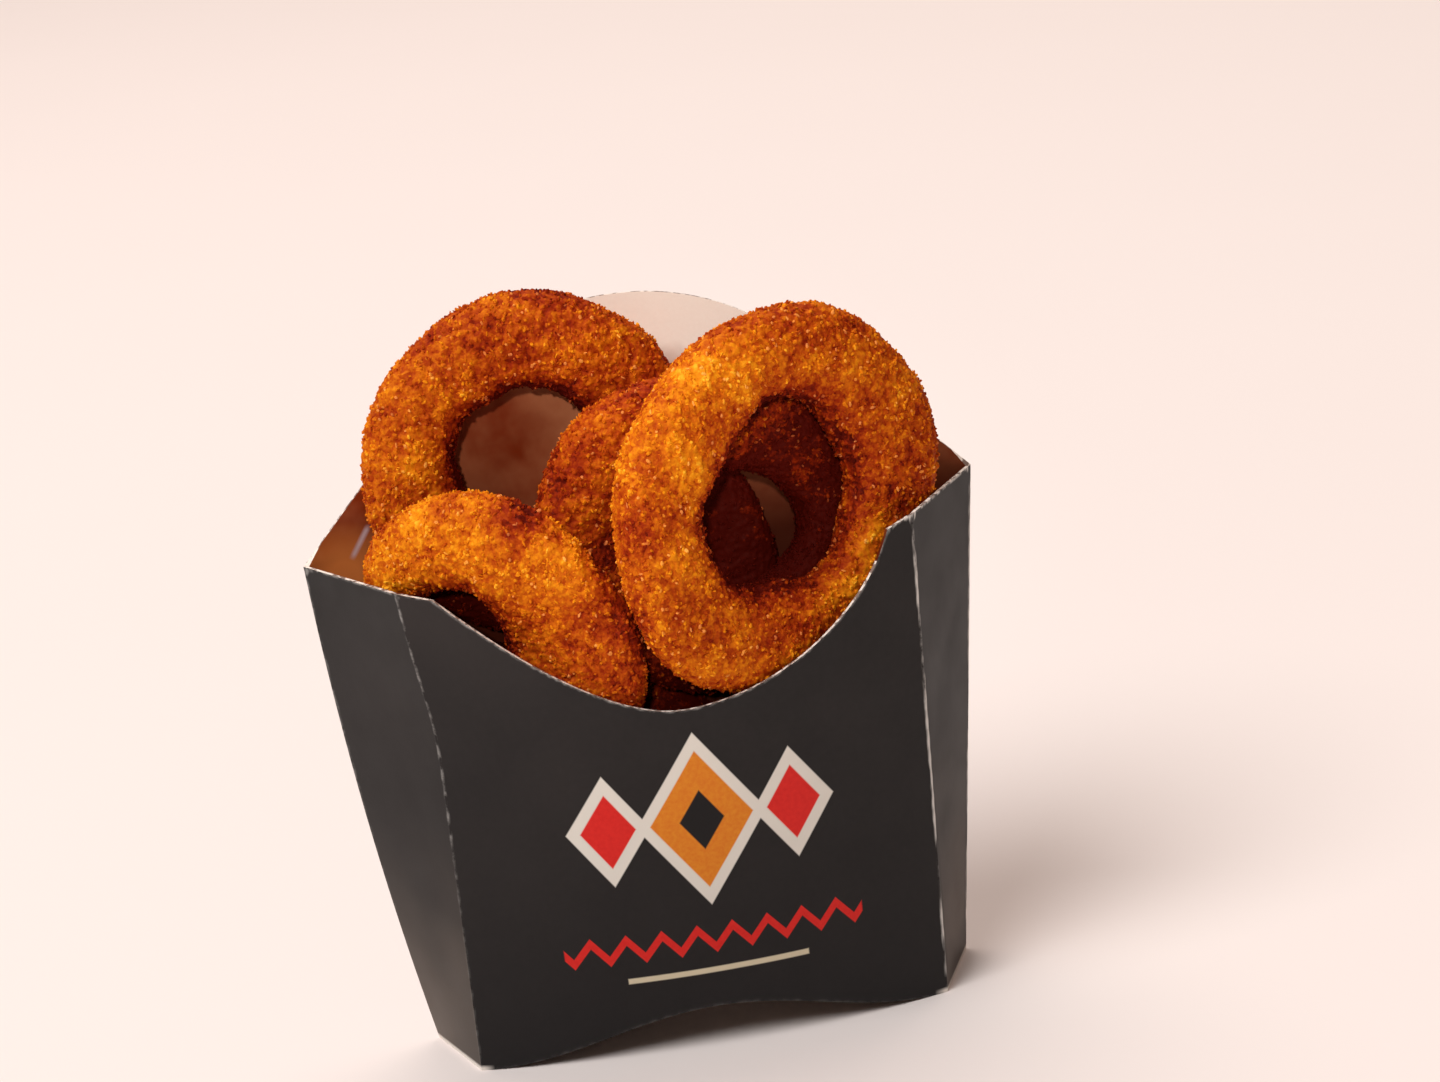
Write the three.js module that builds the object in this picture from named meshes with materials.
// A side of onion rings in its card scoop carton.
//
// The carton is one folded card: a tall back with an arched top, a lower front with a scooped
// edge, two splayed side panels, and a bottom that vaults up between its curved creases.
// Five crumbed rings show in the mouth, one of them small and well back, and two more stand
// below and carry them.
//
// Millimetres, +Z up, the front faces -Y. The sizes below are measured from the middle of the
// carton's foot, and the finished group is then moved so that its origin lies under the middle
// of the whole: the front right ring leans out over the front.

import * as THREE from 'three';

// ---------- Driving sizes of the carton ----------

const FOOT_BEHIND_MIDDLE = 2.3; // the carton's foot stands this far behind the origin
const CARD = 0.6; // thickness of the board
const CORNER_HEIGHT = 94; // top corners of the side panels

const BACK_HALF = { foot: 50.5, top: 61 }; // half widths between the upright creases
const FRONT_HALF = { foot: 43.5, top: 45.4 };
const BACK_Y = { foot: 8.1, top: 12 }; // where the creases stand, front to back
const FRONT_Y = { foot: -8.1, top: -11.5 };
const BACK_BOW = { foot: 5.5, top: 6 }; // how far the middle of a panel swells out of its creases
const FRONT_BOW = { foot: 6, top: 12 };

// The left side is a little crushed. Its front crease is pushed in by these amounts, as pairs
// of height and offset, and its back crease swells out most at half height.
const LEFT_PINCH = [[0, 0], [61, 2.6], [69, 2.6], [81, 1], [94, 0], [140, 0]];
const LEFT_SWELL = 1.6;

const VAULT_RISE = 8.4; // the bottom edges arch up this far in the middle

// The scoop runs out in a long slope on the left and in a steep, round end on the right. Half is
// where it starts, as a share of the front's half width, and the two powers set its curve.
const SCOOP_LEFT = { half: 0.868, across: 1.6, end: 1 };
const SCOOP_RIGHT = { half: 0.89, across: 2, end: 0.7 };
const SCOOP_DEPTH = 24.6;
const SHOULDER_DROP = 1.3; // the front's edge dips this much from crease to scoop

const ARCH_RISE = 39.5; // the back's top above the side panels' corners
const ARCH_SLOPE = 0.92; // of its straight shoulders
const ARCH_RADIUS = 42; // of its rounded top

const ACROSS = 36; // cells across the front and the back
const SHOULDER_CELLS = 2; // of them between a crease and the scoop, on each side
const SIDE_CELLS = 4; // cells across a side panel
const UP = 12; // cells up a wall

// ---------- Driving sizes of the rings ----------

const RING_CELLS = 40; // around a ring
const SECTION_CELLS = 14; // around its section
const SECTION_POWER = 2.4; // 2 is an ellipse, more is squarer
const CRAG = 0.75; // height of the lumps in the crust

// Each ring lies in a plane of its own: centre is its place, lean tips its top back and turn
// swings its right side back, in degrees. Bend curls its left and right ends back out of that
// plane. The radii are taken every 30 degrees from the ring's right, anticlockwise as seen
// from the front.
const RINGS = [
  {
    name: 'ring_back_left',
    centre: [-18.6, 10.3, 109.7],
    lean: -0.1,
    turn: 3.1,
    thickness: 10.6,
    bend: 0,
    outer: [28, 30.4, 28.8, 29.4, 28.6, 28.6, 30.5, 31.5, 34, 34, 23.5, 21],
    inner: [12, 11.8, 11.4, 11.3, 11.6, 12.6, 12.9, 12.6, 12.5, 12.4, 12.3, 12.3],
    colour: 0xb4571a,
  },
  {
    name: 'ring_middle',
    centre: [9.8, 1.2, 93],
    lean: 1.2,
    turn: 9.7,
    thickness: 9.8,
    bend: 2.3,
    outer: [30.5, 31, 30.5, 29.6, 31.3, 31.3, 31, 30, 29.5, 29.5, 29, 29.5],
    inner: [18, 14.2, 10.7, 11.6, 12.8, 13, 12.6, 12, 12, 12.2, 13.4, 17],
    colour: 0xa84a1a,
  },
  {
    name: 'ring_behind',
    centre: [5, 11.4, 80.9],
    lean: 1.6,
    turn: -1.2,
    thickness: 8.4,
    bend: 0.3,
    outer: [19.6, 19.6, 24.6, 21, 15.5, 12.5, 12.5, 12.5, 13, 16.5, 19, 20],
    inner: [5.3, 5.5, 5.6, 5.5, 5.4, 5.3, 5.3, 5.4, 5.5, 5.6, 5.5, 5.4],
    colour: 0x7a3416,
  },
  {
    name: 'ring_front_right',
    centre: [20.4, -9.5, 99.5],
    lean: 3.5,
    turn: 23.4,
    thickness: 11.4,
    bend: -0.1,
    outer: [35.7, 36.8, 36.5, 33, 31.4, 30.3, 30, 32.5, 34.5, 33.8, 32.5, 32.4],
    inner: [16.4, 16.6, 19, 16.4, 12.2, 11.9, 13.5, 14.3, 14.7, 14.1, 16.8, 16.2],
    colour: 0xc26a1c,
  },
  {
    name: 'ring_front_left',
    centre: [-34.3, -4.8, 79.8],
    lean: -1.8,
    turn: -25.8,
    thickness: 10.8,
    bend: 1.9,
    outer: [32.1, 30.7, 31, 29.7, 26.2, 20.4, 15.6, 16.5, 21.2, 27.9, 32.6, 33.6],
    inner: [6.6, 7.9, 10.6, 12.6, 11.6, 9, 7.4, 7.4, 8.6, 9.4, 8, 6.8],
    colour: 0xd07a1e,
  },
  {
    name: 'ring_low_left',
    centre: [-18.6, 6.2, 41.1],
    lean: 7.3,
    turn: 3.7,
    thickness: 10.8,
    bend: 0.5,
    outer: [31, 31.5, 32.5, 34, 36.5, 33.5, 31, 31.5, 33, 34, 33, 31.5],
    inner: [13, 13, 14, 14.5, 14, 13, 13, 13, 14, 14.5, 14, 13],
    colour: 0xa84a1a,
  },
  {
    name: 'ring_low_right',
    centre: [23.8, -1.6, 35.1],
    lean: -0.5,
    turn: 13.3,
    thickness: 10.8,
    bend: 1.2,
    outer: [27, 27, 27.5, 28, 27.5, 27, 27, 27, 27.5, 28, 27.5, 27],
    inner: [11, 11, 11.5, 12, 11.5, 11, 11, 11, 11.5, 12, 11.5, 11],
    colour: 0xb4571a,
  },
];

// ---------- Small tools ----------

const lerp = THREE.MathUtils.lerp;
const radians = THREE.MathUtils.degToRad;

// A closed mesh out of a list of points and a list of four-cornered faces.
function solidOf(points, quads) {
  const geometry = new THREE.BufferGeometry();
  geometry.setAttribute('position', new THREE.Float32BufferAttribute(points.flat(), 3));
  geometry.setIndex(quads.flatMap(([a, b, c, d]) => [a, b, c, a, c, d]));
  geometry.computeVertexNormals();
  return geometry;
}

function material(colour, roughness) {
  return new THREE.MeshStandardMaterial({ color: colour, roughness, metalness: 0 });
}

// ---------- The carton ----------

const atHeight = (range, z) => lerp(range.foot, range.top, z / CORNER_HEIGHT);

// Height of the front's top edge, s being -1 at the left crease and 1 at the right one.
function frontTop(s) {
  const { half, across, end } = s < 0 ? SCOOP_LEFT : SCOOP_RIGHT;
  const toShoulder = Math.min(1, (1 - Math.abs(s)) / (1 - half));
  const scoop = Math.max(0, 1 - (Math.abs(s) / half) ** across) ** end;
  return CORNER_HEIGHT - SHOULDER_DROP * toShoulder - SCOOP_DEPTH * scoop;
}

// Height of the back's top edge: two straight shoulders that run into a round top.
function backTop(s) {
  const x = Math.abs(s) * BACK_HALF.top;
  const roundHalf = ARCH_RADIUS * Math.sin(Math.atan(ARCH_SLOPE));
  const shoulder = ARCH_SLOPE * (BACK_HALF.top - x);
  const round = ARCH_RISE - ARCH_RADIUS + Math.sqrt(Math.max(0, ARCH_RADIUS ** 2 - x ** 2));
  return CORNER_HEIGHT + (x < roundHalf ? Math.max(round, 0) : Math.min(shoulder, ARCH_RISE));
}

const vault = (s) => (VAULT_RISE * (1 + Math.cos(Math.PI * s))) / 2;

// Shares of the half width at which the front and the back are divided.
function sharesAcross() {
  const middle = ACROSS - 2 * SHOULDER_CELLS;
  const left = -SCOOP_LEFT.half;
  const right = SCOOP_RIGHT.half;
  const shares = [];
  for (let i = 0; i <= ACROSS; i++) {
    if (i < SHOULDER_CELLS) shares.push(lerp(-1, left, i / SHOULDER_CELLS));
    else if (i <= SHOULDER_CELLS + middle) {
      shares.push(lerp(left, right, (i - SHOULDER_CELLS) / middle));
    } else shares.push(lerp(right, 1, (i - SHOULDER_CELLS - middle) / SHOULDER_CELLS));
  }
  return shares;
}

// Height by height, how far the left creases stand off the straight.
function leftPinch(z) {
  const k = LEFT_PINCH.findIndex(([height]) => height > z);
  const [low, high] = [LEFT_PINCH[k - 1], LEFT_PINCH[k]];
  return lerp(low[1], high[1], (z - low[0]) / (high[0] - low[0]));
}

function leftSwell(z) {
  const share = z / CORNER_HEIGHT;
  return LEFT_SWELL * Math.max(0, 4 * share * (1 - share));
}

// Points of the front and the back. The crushing fades out towards the middle of the panel.
function frontPoint(s, z) {
  const x = s * atHeight(FRONT_HALF, z) + leftPinch(z) * Math.min(0, s) ** 2;
  return [x, atHeight(FRONT_Y, z) - atHeight(FRONT_BOW, z) * (1 - s * s), z];
}

function backPoint(s, z) {
  const x = s * atHeight(BACK_HALF, z) - leftSwell(z) * Math.min(0, s) ** 2;
  return [x, atHeight(BACK_Y, z) + atHeight(BACK_BOW, z) * (1 - s * s), z];
}

// The wall as a ring of upright strips, anticlockwise from above, starting at the front left
// crease. Each strip knows its bottom, its top and the point it passes through at a height.
function wallStrips() {
  const shares = sharesAcross();
  const side = (sign, j) => ({
    bottom: 0,
    top: CORNER_HEIGHT,
    at: (z) => {
      const front = frontPoint(sign, z);
      const back = backPoint(sign, z);
      return [lerp(front[0], back[0], j / SIDE_CELLS), lerp(front[1], back[1], j / SIDE_CELLS), z];
    },
  });
  const strips = shares.map((s) => ({ bottom: vault(s), top: frontTop(s), at: (z) => frontPoint(s, z) }));
  for (let j = 1; j < SIDE_CELLS; j++) strips.push(side(1, j));
  for (const s of [...shares].reverse()) {
    strips.push({ bottom: vault(s), top: backTop(s), at: (z) => backPoint(s, z) });
  }
  for (let j = SIDE_CELLS - 1; j > 0; j--) strips.push(side(-1, j));
  return strips;
}

// A point of the wall moved inwards by the card's thickness, square to both its neighbours.
function inward(strips, k, z) {
  const count = strips.length;
  const here = strips[k].at(z);
  const before = strips[(k + count - 1) % count].at(z);
  const after = strips[(k + 1) % count].at(z);
  const normal = (p, q) => {
    const length = Math.hypot(q[0] - p[0], q[1] - p[1]);
    return [-(q[1] - p[1]) / length, (q[0] - p[0]) / length];
  };
  const a = normal(before, here);
  const b = normal(here, after);
  const share = CARD / (1 + a[0] * b[0] + a[1] * b[1]);
  return [here[0] + (a[0] + b[0]) * share, here[1] + (a[1] + b[1]) * share, z];
}

function cartonGeometry() {
  const strips = wallStrips();
  const count = strips.length;
  const points = [];
  const quads = [];
  const add = (point) => points.push(point) - 1;

  const outer = strips.map(({ bottom, top, at }) =>
    Array.from({ length: UP + 1 }, (_, v) => add(at(lerp(bottom, top, v / UP)))),
  );
  const inner = strips.map(({ bottom, top }, k) =>
    Array.from({ length: UP + 1 }, (_, v) => add(inward(strips, k, lerp(bottom + CARD, top, v / UP)))),
  );
  for (let k = 0; k < count; k++) {
    const next = (k + 1) % count;
    for (let v = 0; v < UP; v++) {
      quads.push([outer[k][v], outer[next][v], outer[next][v + 1], outer[k][v + 1]]);
      quads.push([inner[next][v], inner[k][v], inner[k][v + 1], inner[next][v + 1]]);
    }
    quads.push([outer[k][UP], outer[next][UP], inner[next][UP], inner[k][UP]]);
  }

  // The vaulted bottom is ruled from front to back. Its rim is the lowest row of each wall.
  const floorOf = (walls) => {
    const rowAt = (i, j) => {
      if (j === 0) return walls[i][0];
      if (j === SIDE_CELLS) return walls[2 * ACROSS + SIDE_CELLS - i][0];
      if (i === ACROSS) return walls[ACROSS + j][0];
      if (i === 0) return walls[count - j][0];
      const front = points[walls[i][0]];
      const back = points[walls[2 * ACROSS + SIDE_CELLS - i][0]];
      return add(front.map((value, axis) => lerp(value, back[axis], j / SIDE_CELLS)));
    };
    return Array.from({ length: ACROSS + 1 }, (_, i) =>
      Array.from({ length: SIDE_CELLS + 1 }, (_, j) => rowAt(i, j)),
    );
  };
  const below = floorOf(outer);
  const above = floorOf(inner);
  for (let i = 0; i < ACROSS; i++) {
    for (let j = 0; j < SIDE_CELLS; j++) {
      quads.push([below[i][j], below[i][j + 1], below[i + 1][j + 1], below[i + 1][j]]);
      quads.push([above[i][j], above[i + 1][j], above[i + 1][j + 1], above[i][j + 1]]);
    }
  }
  return solidOf(points, quads);
}

// ---------- The rings ----------

// A smooth closed curve through radii that are given at even steps around a ring.
function radiusAt(radii, turns) {
  const place = (((turns % 1) + 1) % 1) * radii.length;
  const i = Math.floor(place);
  const [p, q, r, s] = [-1, 0, 1, 2].map((k) => radii[(i + k + radii.length) % radii.length]);
  const t = place - i;
  return q + (t / 2) * (r - p + t * (2 * p - 5 * q + 4 * r - s + t * (3 * (q - r) + s - p)));
}

// Lumps of the crust: a few waves around and across the ring, different for each ring.
function crag(seed, around, across) {
  const waves = [
    [5, 1, 0.45],
    [9, 2, 0.3],
    [14, -3, 0.25],
  ];
  return waves.reduce(
    (sum, [m, n, size], k) => sum + size * Math.sin(m * around + n * across + seed * (k + 1.7)),
    0,
  );
}

const signedPower = (value, power) => Math.sign(value) * Math.abs(value) ** power;

function ringGeometry({ outer, inner, thickness, bend }, seed) {
  const points = [];
  const quads = [];
  for (let i = 0; i < RING_CELLS; i++) {
    const around = (2 * Math.PI * i) / RING_CELLS;
    const out = radiusAt(outer, i / RING_CELLS);
    const hole = radiusAt(inner, i / RING_CELLS);
    const curl = -bend * Math.cos(2 * around);
    for (let j = 0; j < SECTION_CELLS; j++) {
      const across = (2 * Math.PI * j) / SECTION_CELLS;
      const lump = CRAG * crag(seed, around, across);
      const wide = (out - hole) / 2 + lump;
      const deep = thickness / 2 + lump / 2;
      const radius = (out + hole) / 2 + wide * signedPower(Math.cos(across), 2 / SECTION_POWER);
      const height = curl + deep * signedPower(Math.sin(across), 2 / SECTION_POWER);
      points.push([radius * Math.cos(around), radius * Math.sin(around), height]);
      const i2 = (i + 1) % RING_CELLS;
      const j2 = (j + 1) % SECTION_CELLS;
      const at = (a, b) => a * SECTION_CELLS + b;
      quads.push([at(i, j), at(i2, j), at(i2, j2), at(i, j2)]);
    }
  }
  return solidOf(points, quads);
}

// ---------- Assembly ----------

const side = new THREE.Group();
side.position.y = FOOT_BEHIND_MIDDLE;

const carton = new THREE.Mesh(cartonGeometry(), material(0x2f2b29, 0.6));
carton.name = 'carton';
side.add(carton);

RINGS.forEach((shape, index) => {
  const ring = new THREE.Mesh(ringGeometry(shape, index + 1), material(shape.colour, 0.85));
  ring.name = shape.name;
  ring.position.set(...shape.centre);
  ring.rotation.set(Math.PI / 2 - radians(shape.lean), 0, radians(shape.turn), 'ZYX');
  side.add(ring);
});

export default side;
